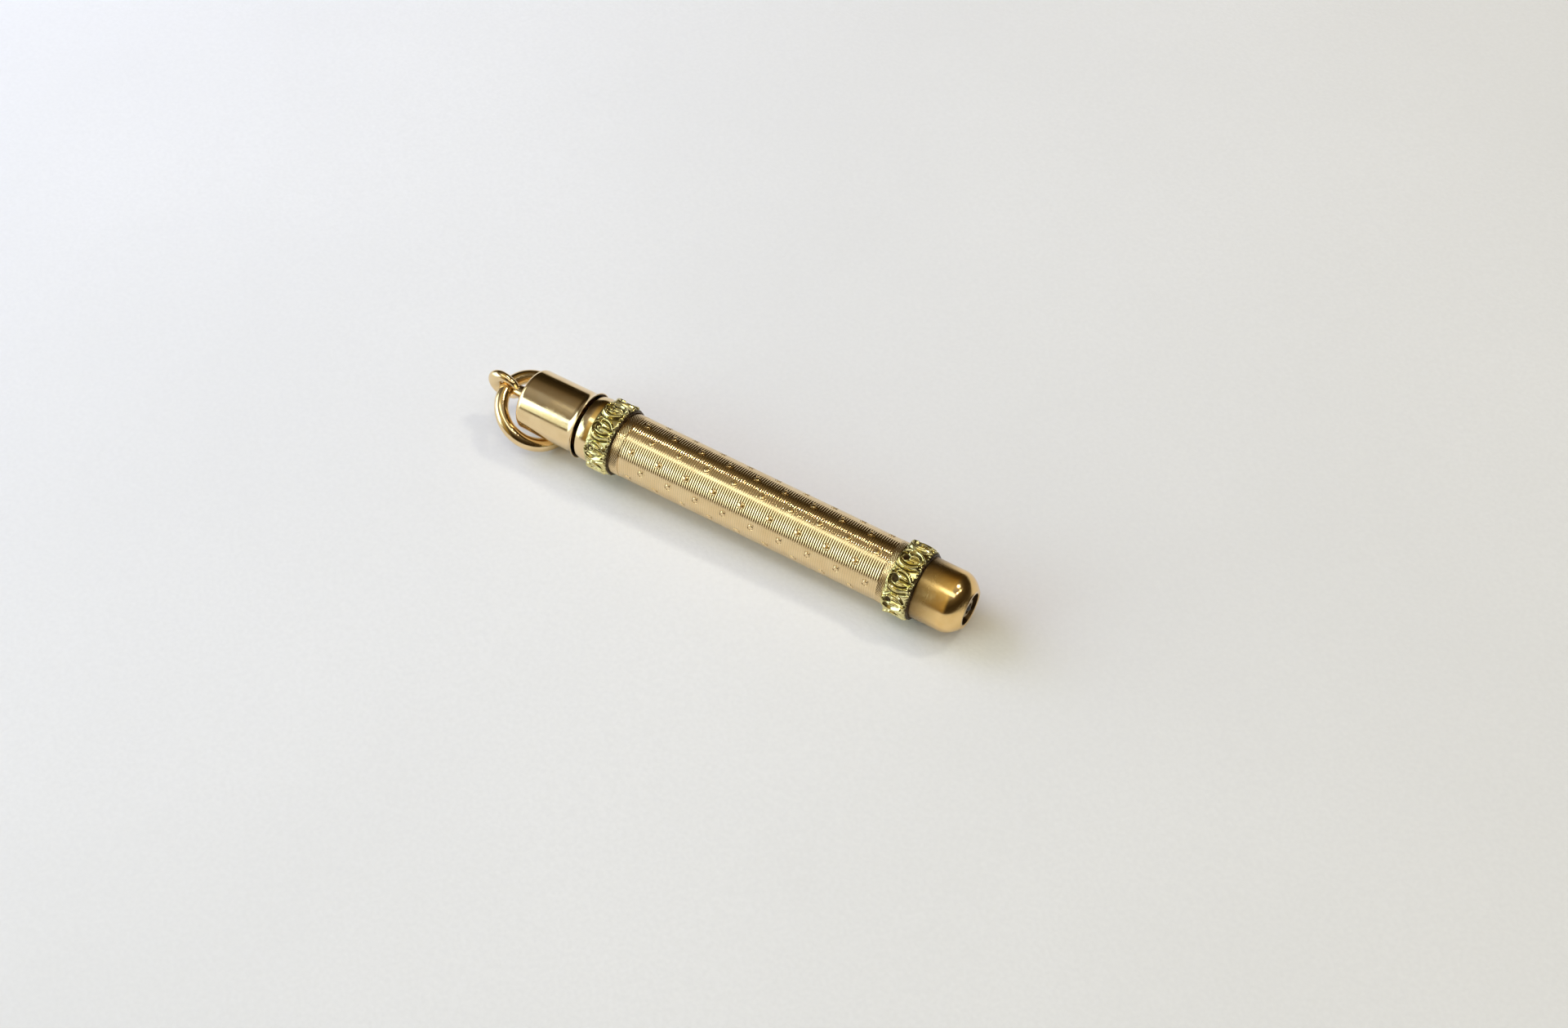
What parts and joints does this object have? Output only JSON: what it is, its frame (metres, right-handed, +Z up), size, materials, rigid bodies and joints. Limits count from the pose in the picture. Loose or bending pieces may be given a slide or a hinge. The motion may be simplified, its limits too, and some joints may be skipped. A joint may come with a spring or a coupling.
{
  "type": "dance card pencil",
  "caption": "Small gold telescopic pencil with engine-turned barrel, scroll bands, flared cap and hanging ring; pulling the cap drives the point out.",
  "frame": {"origin": "under the middle of the pencil's length, on the level of the ring that it lies on", "axes": "+X along the pencil's axis towards the nose, +Z up"},
  "size_m": [0.0558, 0.0088, 0.0086],
  "materials": {
    "rose_gold": "polished, worn",
    "green_gold": "chased, tarnished in the hollows",
    "inner_brass": "drawn tube",
    "steel": "ground",
    "graphite": "graphite"
  },
  "bodies": {
    "barrel": {"barrel_tube": "rose_gold", "mouth_collar": "rose_gold", "rear_scroll_band": "green_gold", "front_scroll_band": "green_gold", "nose": "rose_gold", "guide_tube": "inner_brass", "front_bush": "inner_brass", "rear_bush": "inner_brass", "thrust_washer": "steel"},
    "cap": {"cap_shell": "rose_gold", "eye_collar": "rose_gold", "pendant_eye": "rose_gold", "draw_tube": "rose_gold", "draw_pin": "steel"},
    "spiral": {"spiral_tube": "inner_brass"},
    "point": {"carrier": "rose_gold", "carrier_pin": "steel", "nozzle": "rose_gold", "lead": "graphite"},
    "ring": {"jump_ring": "rose_gold"}
  },
  "joints": [
    {"name": "cap_pull", "type": "slide", "parent": "barrel", "child": "cap", "axis": [-1, 0, 0], "range_m": [0, 0.022]},
    {"name": "spiral_spin", "type": "hinge", "parent": "barrel", "child": "spiral", "pos_m": [0, 0, 0.00479], "axis": [1, 0, 0], "range_deg": [0, 360]},
    {"name": "point_slide", "type": "slide", "parent": "barrel", "child": "point", "axis": [1, 0, 0], "range_m": [0, 0.011]},
    {"name": "ring_swing", "type": "hinge", "parent": "cap", "child": "ring", "pos_m": [-0.02545, 0, 0.00479], "axis": [0, 1, 0], "range_deg": [0, 293.5]}
  ],
  "couplings": [
    {"joint": "spiral_spin", "follows": "cap_pull", "rad_per_m": 285.6},
    {"joint": "point_slide", "follows": "cap_pull", "ratio": 0.5}
  ]
}
